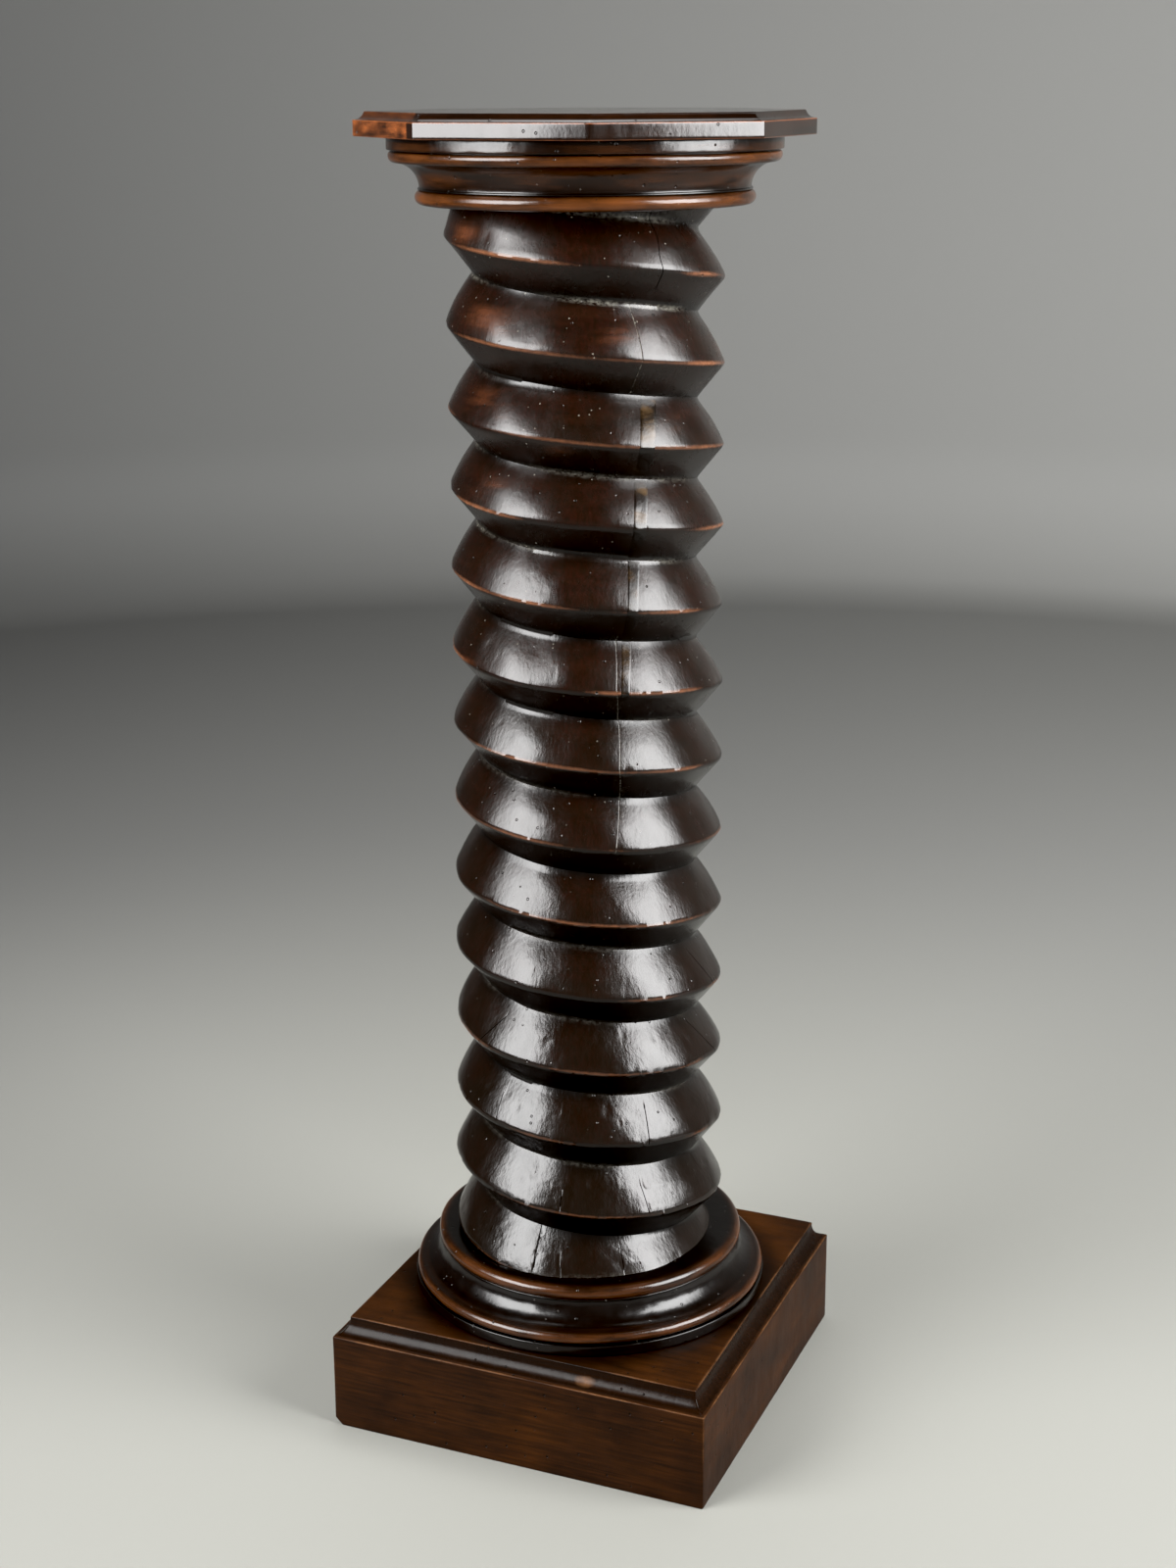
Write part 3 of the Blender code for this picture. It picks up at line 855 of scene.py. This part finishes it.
class PEDESTAL_OT_plinth(bpy.types.Operator):
    """Dresses the square plinth with its cove, worn arrises and broken corner"""

    bl_idname = "pedestal.plinth"
    bl_label = "Plinth"

    def execute(self, context):
        p = context.scene.pedestal.plinth
        low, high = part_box("plinth")
        half = (high.x - low.x) / 2
        rings, insets = coved_block(
            p, half, low.z, high.z, sides=4, per_side=72, turn=0, steps=10,
            lip=0.2 * MM, inward=(6 * MM, 56 * MM), spacing=3 * MM,
        )
        points = rings.reshape(-1, 3)
        heights = points[:, 2]
        inset = half - np.abs(points[:, :2]).max(1)
        step = bell(heights - p.face_height, 1.0 * MM) * bell(insets, 1.6 * MM)
        brow = bell(heights - high.z, 0.9 * MM) * bell(insets - p.cove_inset, 1.5 * MM)
        corner = bell(half * 2 - np.abs(points[:, :2]).sum(1) - inset, 1.2 * MM)
        face = heights < p.face_height
        upper_face = heights > high.z - 1 * MM
        cove = (heights > p.face_height + 0.5 * MM) & (heights < high.z - 0.6 * MM)
        # The pale worn patch in the front cove: its middle and its half width and half height.
        across, level = (points[:, 0] - 66 * MM) / (9.5 * MM), (heights - 95.5 * MM) / (4.0 * MM)
        patch = 0.5 * np.exp(-((across**2 + level**2) ** 2)) * (points[:, 1] < 0) * cove
        push_outward(points, 0.18 * MM * ripple(points, 120 * MM, seed=41) * (heights > 1 * MM))
        to_ring = np.linalg.norm(points[:, :2], axis=1) - context.scene.pedestal.moulding.fascia_radius
        broken = np.clip(0.7 + 0.45 * ripple(points, 55 * MM, seed=42), 0, 1)
        cloud = ripple(points, 85 * MM, seed=43)
        shade_round_ring = (1 - step_up(to_ring, 0, 30 * MM)) * upper_face
        masks = {
            "wear": (0.55 * step + 0.5 * brow + 0.4 * corner * face) * broken + patch,
            # Darker in the cove and along the foot, and painted shade in a band on the top round the base
            # moulding.
            "grime_and_shade": 0.4 * cove * (1 - patch) + 0.3 * bell(heights, 4 * MM) + 0.9 * shade_round_ring,
            "thin": np.where(upper_face, 0.8 + 0.3 * cloud, (0.2 + 0.3 * cloud) * face),
            "pits": np.full(len(points), 0.9),
            "high": np.where(cove, 0.1, 0.8),
        }
        # Waxed rather than polished: a dull brown board, honey coloured and almost matt on top, with fibres
        # that run along the front.
        wood = polished_wood(
            "Stained and waxed walnut", (p.dark, p.brown, p.honey), (60, 3, 2.2), p.tan,
            gloss=(0.2, 0.46), shine=(0.05, 0.02), amber=1.0, pores=0.1,
        )
        mesh = fine_mesh("plinth_block", points, close_columns(rings), masks)
        dress(mesh, "plinth", wood)
        cut_solid(mesh, ((p.chip - half, -half, 0), (-1, -1, -1)))
        return {"FINISHED"}


class PEDESTAL_OT_mouldings(bpy.types.Operator):
    """Dresses the base and capital mouldings as turned and polished wood"""

    bl_idname = "pedestal.mouldings"
    bl_label = "Turned mouldings"

    def execute(self, context):
        m = context.scene.pedestal.moulding
        # Turned and friction polished: nearly black hollows with painted shade in the creases, thin bright
        # lines of light round the rings, and fibres that show as fine level marks.
        wood = polished_wood(
            "Turned and polished walnut", (m.dark, m.brown, m.rubbed), (26, 26, 1.6), m.rubbed,
            gloss=(0.16, 0.22), shine=(0.2, 0.1), amber=1.0, pores=0.12,
        )
        turned_piece("base_ring", "base_moulding", False, wood)
        turned_piece("capital_ring", "capital_moulding", True, wood)
        return {"FINISHED"}


class PEDESTAL_OT_screw(bpy.types.Operator):
    """Dresses the press screw with its hand-cut, worn and cracked thread"""

    bl_idname = "pedestal.screw"
    bl_label = "Press screw"

    def execute(self, context):
        s = context.scene.pedestal.screw
        # Cut and scraped by hand, then polished for years: soft bright bands down each flank, broken by
        # upright scraper marks, over almost black wood with upright fibres.
        wood = polished_wood(
            "Polished press screw wood", (s.dark, s.red, s.amber), (2.4, 2.4, 24), s.worn,
            gloss=(0.18, 0.22), shine=(0.21, 0.1), amber=0.95, pale=s.wax, streak=(3.2, 3.2, 80),
            dull=0.12, waver=0.22,
        )
        dress(screw_mesh("screw_carved", 176, 29), "press_screw", wood)
        return {"FINISHED"}


class PEDESTAL_OT_strip(bpy.types.Operator):
    """Dresses the strip of paler wood let into the screw's long crack"""

    bl_idname = "pedestal.strip"
    bl_label = "Repair strip"

    def execute(self, context):
        p = context.scene.pedestal.strip
        s = context.scene.pedestal.screw
        low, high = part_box("repair_strip")
        thickness = 3 * MM
        heights = np.linspace(low.z, high.z, 260)
        # Places of the points across the strip, from edge to edge, and how far the edges are eased.
        shares = np.array([-1, -0.96, -0.6, -0.2, 0.2, 0.6, 0.96, 1])
        sink = np.array([0.06, 0, 0, 0, 0, 0, 0, 0.06]) * MM
        share = (heights - low.z) / (high.z - low.z)
        width = p.width_foot + (p.width_head - p.width_foot) * share
        offset = p.offset_foot + (p.offset_head - p.offset_foot) * share
        across = offset[:, None] + width[:, None] / 2 * shares
        height = np.repeat(heights, len(shares)).reshape(across.shape)
        reach = strip_surface(across.ravel(), height.ravel()).reshape(across.shape) + p.proud - sink
        outer = np.stack([reach, across, height], -1)
        inner = outer[:, ::-1].copy()
        inner[:, :, 0] -= thickness
        local = np.concatenate([outer, inner], axis=1)
        cosine, sine = math.cos(p.azimuth), math.sin(p.azimuth)
        rings = local.copy()
        rings[..., 0] = local[..., 0] * cosine - local[..., 1] * sine
        rings[..., 1] = local[..., 0] * sine + local[..., 1] * cosine
        points = rings.reshape(-1, 3)
        edge = np.tile(np.concatenate([np.abs(shares) > 0.95, np.ones(len(shares), bool)]), len(heights))
        _radius, along = thread_surface(np.arctan2(points[:, 1], points[:, 0]), points[:, 2])
        under = along > s.upper_flank - 2 * MM
        browner = 0.4 + 0.6 * np.repeat(share, 2 * len(shares))
        masks = {
            # Dark joint lines along the edges, and painted shade on the lower flank, which faces down.
            "grime_and_shade": np.maximum(edge * 0.6, under * 0.55),
            "thin": (0.5 + 0.8 * ripple(points, 20 * MM, seed=71)) * browner * ~under,
        }
        # Paler wood planed flush under the same polish: a brown band with the screw's own highlights on it.
        wood = polished_wood(
            "Let-in strip of paler wood", (s.dark, s.red, p.wood), (1.4, 1.4, 18), p.wood,
            gloss=(0.14, 0.2), shine=(0.2, 0.1), amber=1.0, dull=0.12,
        )
        mesh = fine_mesh("strip_let_in", points, close_columns(rings), masks)
        dress(mesh, "repair_strip", wood)
        cut_solid(mesh)
        return {"FINISHED"}


class PEDESTAL_OT_top(bpy.types.Operator):
    """Dresses the octagonal top with its small cove"""

    bl_idname = "pedestal.top"
    bl_label = "Octagonal top"

    def execute(self, context):
        t = context.scene.pedestal.top
        low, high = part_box("top_slab")
        rings, insets = coved_block(
            t, t.across_flats / 2, low.z, high.z, sides=8, per_side=40, turn=t.turn, steps=6,
            lip=0.3 * MM, inward=(10 * MM, 8 * MM), spacing=2.5 * MM,
        )
        points = rings.reshape(-1, 3)
        heights = points[:, 2]
        top_arris = bell(heights - low.z - t.face_height, 0.9 * MM) * bell(insets, 1.6 * MM)
        foot_arris = bell(heights - low.z, 0.9 * MM) * bell(insets, 1.5 * MM)
        push_outward(points, 0.15 * MM * ripple(points, 100 * MM, seed=51))
        cove = (insets > 1.5 * MM) & (heights < high.z - 0.5 * MM) & (heights > low.z + 1 * MM)
        side = wrapped(np.arctan2(points[:, 1], points[:, 0]) - LEFT_OF_VIEW)
        mottle = np.clip(ripple(points, 26 * MM, seed=52), 0, 1)
        upper_face = heights > high.z - 0.3 * MM
        leftward = (np.abs(side) < math.radians(42)) & ~upper_face
        masks = {
            "wear": 0.6 * top_arris + 0.4 * foot_arris,
            "grime_and_shade": np.maximum(cove * 0.7, np.where(leftward, 0.6 * mottle, 0.7)),
            "thin": np.where(leftward, 1.0, np.where(upper_face, 0.25, 0.1)),
            "pits": np.where(upper_face, 0.2, 0.9),
            "high": np.full(len(points), 0.4),
        }
        # The best polish of all the pieces: edges that mirror the lights sharply, orange brown at the left.
        wood = polished_wood(
            "Polished walnut board", (t.dark, t.brown, t.amber), (2.4, 30, 2.0), t.amber,
            gloss=(0.04, 0.06), shine=(0.21, 0.12), amber=1.0, pores=0.04, waver=0.1,
        )
        dress(fine_mesh("octagon_top", points, close_columns(rings), masks), "top_slab", wood)
        return {"FINISHED"}


def softbox(name, azimuth, elevation, width, height, radiance, fades):
    """A broad soft light that faces the middle of the object, with edges that fade.

    fades are how far in from the left, the right, the bottom and the top the light comes up to full
    brightness, as shares of its width and height.
    """
    distance, middle = 2.7, (0, 0, 0.6)
    light = bpy.data.lights.new(name, "AREA")
    light.shape = "RECTANGLE"
    light.size = width
    light.size_y = height
    light.energy = radiance * width * height * math.pi
    light.use_nodes = True
    tree = light.node_tree
    place = put(tree, "ShaderNodeNewGeometry", out="Parametric")
    axes = put(tree, "ShaderNodeSeparateXYZ", (place,)).node.outputs
    edges = (("X", 0, fades[0]), ("X", 1, 1 - fades[1]), ("Y", 0, fades[2]), ("Y", 1, 1 - fades[3]))
    rises = [
        put(tree, "ShaderNodeMapRange", (axes[axis], outside, inside), interpolation_type="SMOOTHSTEP")
        for axis, outside, inside in edges
    ]
    tree.links.new(joined(tree, *rises), tree.nodes["Emission"].inputs["Strength"])
    lamp = bpy.data.objects.new(name, light)
    bpy.context.scene.collection.objects.link(lamp)
    turn = Matrix.Rotation(azimuth, 4, "Z") @ Matrix.Rotation(math.pi / 2 - elevation, 4, "X")
    lamp.matrix_world = Matrix.Translation(middle) @ turn @ Matrix.Translation((0, 0, distance))


def floor_mesh():
    """A floor that sweeps up into a backdrop behind the object, all round."""
    radius, sweep, rise = 3.4, 0.35, 5.0
    curve = np.linspace(0.1, math.pi / 2, 14)
    outline = [(0.0, 0.0), (radius, 0.0)]
    outline += [(radius + sweep * math.sin(turn), sweep * (1 - math.cos(turn))) for turn in curve]
    outline.append((radius + sweep, rise))
    bm = bmesh.new()
    verts = [bm.verts.new((reach, 0, level)) for reach, level in outline]
    edges = [bm.edges.new(pair) for pair in zip(verts, verts[1:])]
    bmesh.ops.spin(
        bm, geom=verts + edges, cent=(0, 0, 0), axis=(0, 0, 1), angle=FULL_TURN, steps=96, use_merge=True
    )
    bmesh.ops.remove_doubles(bm, verts=bm.verts, dist=1e-5)
    mesh = bpy.data.meshes.new("floor")
    bm.to_mesh(mesh)
    bm.free()
    mesh.shade_smooth()
    return mesh


def floor_material(g):
    """Matt paper with painted shade that deepens away from the object, and painted light to the right of the
    view.
    """
    material, tree, shader = new_material("Pale studio paper")
    place = put(tree, "ShaderNodeTexCoord", out="Object")
    reach = put(tree, "ShaderNodeVectorMath", (place,), out="Value", operation="LENGTH")
    far = put(tree, "ShaderNodeMapRange", (reach, 0.2, 1.9), interpolation_type="SMOOTHSTEP")
    level = put(tree, "ShaderNodeSeparateXYZ", (place,), out="Z")
    risen = put(tree, "ShaderNodeMapRange", (level, 0.0, 0.05), interpolation_type="SMOOTHSTEP")
    rightward = (math.cos(g.camera_azimuth), math.sin(g.camera_azimuth), 0)
    across = put(tree, "ShaderNodeVectorMath", (place, rightward), out="Value", operation="DOT_PRODUCT")
    right = put(tree, "ShaderNodeMapRange", (across, -2.4, 2.4))
    far_floor = layered(tree, g.floor_far_shade, (right, g.floor_right_lit))
    wall = layered(tree, g.wall, (right, g.wall_right_lit))
    base = layered(tree, g.floor, (far, far_floor), (risen, wall))
    tree.links.new(base, shader.inputs["Base Color"])
    shader.inputs["Roughness"].default_value = 0.7
    return material


def aim_camera(g):
    """The camera that stands where the photograph was taken from."""
    data = bpy.data.cameras.new("photo_view")
    data.sensor_fit = "VERTICAL"
    data.sensor_height = 36
    data.lens = g.lens
    camera = bpy.data.objects.new("photo_view", data)
    bpy.context.scene.collection.objects.link(camera)
    spin = Matrix.Rotation(g.camera_azimuth, 4, "Z")
    tilt = Matrix.Rotation(math.pi / 2 - g.camera_pitch, 4, "X") @ Matrix.Rotation(g.camera_roll, 4, "Z")
    stand = Matrix.Translation((0, -g.camera_distance, g.camera_height))
    camera.matrix_world = spin @ stand @ tilt
    bpy.context.scene.camera = camera


class PEDESTAL_OT_stage(bpy.types.Operator):
    """Sets the pale floor, the soft studio lights and the camera"""

    bl_idname = "pedestal.stage"
    bl_label = "Stage"

    def execute(self, context):
        g = context.scene.pedestal.stage
        scene = context.scene
        mesh = floor_mesh()
        mesh.materials.append(floor_material(g))
        obj = bpy.data.objects.new("floor", mesh)
        scene.collection.objects.link(obj)
        softbox(
            "left_softbox", g.camera_azimuth - math.radians(63.6), math.radians(24.5),
            width=2.4, height=2.2, radiance=g.left_radiance, fades=(0.45, 0.08, 0.08, 0.24),
        )
        softbox(
            "right_softbox", g.camera_azimuth + math.radians(70.3), math.radians(26),
            width=2.4, height=2.3, radiance=g.right_radiance, fades=(0.06, 0.45, 0.08, 0.3),
        )
        softbox(
            "top_softbox", g.camera_azimuth + math.pi, math.radians(72),
            width=2.4, height=2.0, radiance=g.top_radiance, fades=(0.5, 0.5, 0.5, 0.5),
        )
        world = bpy.data.worlds.new("studio")
        world.use_nodes = True
        background = world.node_tree.nodes["Background"]
        background.inputs["Color"].default_value = (*g.room, 1)
        background.inputs["Strength"].default_value = g.ambient
        scene.world = world
        scene.view_settings.view_transform = "Standard"
        scene.view_settings.use_curve_mapping = True
        scene.view_settings.curve_mapping.black_level = (g.black, g.black, g.black)
        scene.view_settings.curve_mapping.update()
        aim_camera(g)
        return {"FINISHED"}


class PedestalSettings(bpy.types.PropertyGroup):
    """All settings of the pedestal, one group for each kind of piece."""

    screw: PointerProperty(type=ScrewSettings)
    strip: PointerProperty(type=StripSettings)
    moulding: PointerProperty(type=MouldingSettings)
    plinth: PointerProperty(type=PlinthSettings)
    top: PointerProperty(type=TopSettings)
    stage: PointerProperty(type=StageSettings)


OPERATORS = (
    PEDESTAL_OT_plinth,
    PEDESTAL_OT_mouldings,
    PEDESTAL_OT_screw,
    PEDESTAL_OT_strip,
    PEDESTAL_OT_top,
    PEDESTAL_OT_stage,
)


class PEDESTAL_PT_pieces(bpy.types.Panel):
    """Lists the pieces in the 3D view's sidebar"""

    bl_idname = "PEDESTAL_PT_pieces"
    bl_label = "Press screw pedestal"
    bl_space_type = "VIEW_3D"
    bl_region_type = "UI"
    bl_category = "Pedestal"

    def draw(self, context):
        for operator in OPERATORS:
            self.layout.operator(operator.bl_idname)


SETTINGS = (
    ScrewSettings,
    StripSettings,
    MouldingSettings,
    PlinthSettings,
    TopSettings,
    StageSettings,
    PedestalSettings,
)


def register():
    for kind in SETTINGS + OPERATORS + (PEDESTAL_PT_pieces,):
        bpy.utils.register_class(kind)
    bpy.types.Scene.pedestal = PointerProperty(type=PedestalSettings)


def unregister():
    del bpy.types.Scene.pedestal
    for kind in reversed(SETTINGS + OPERATORS + (PEDESTAL_PT_pieces,)):
        bpy.utils.unregister_class(kind)


def main():
    register()
    bpy.ops.pedestal.plinth()
    bpy.ops.pedestal.mouldings()
    bpy.ops.pedestal.screw()
    bpy.ops.pedestal.strip()
    bpy.ops.pedestal.top()
    bpy.ops.pedestal.stage()


if __name__ == "__main__":
    main()
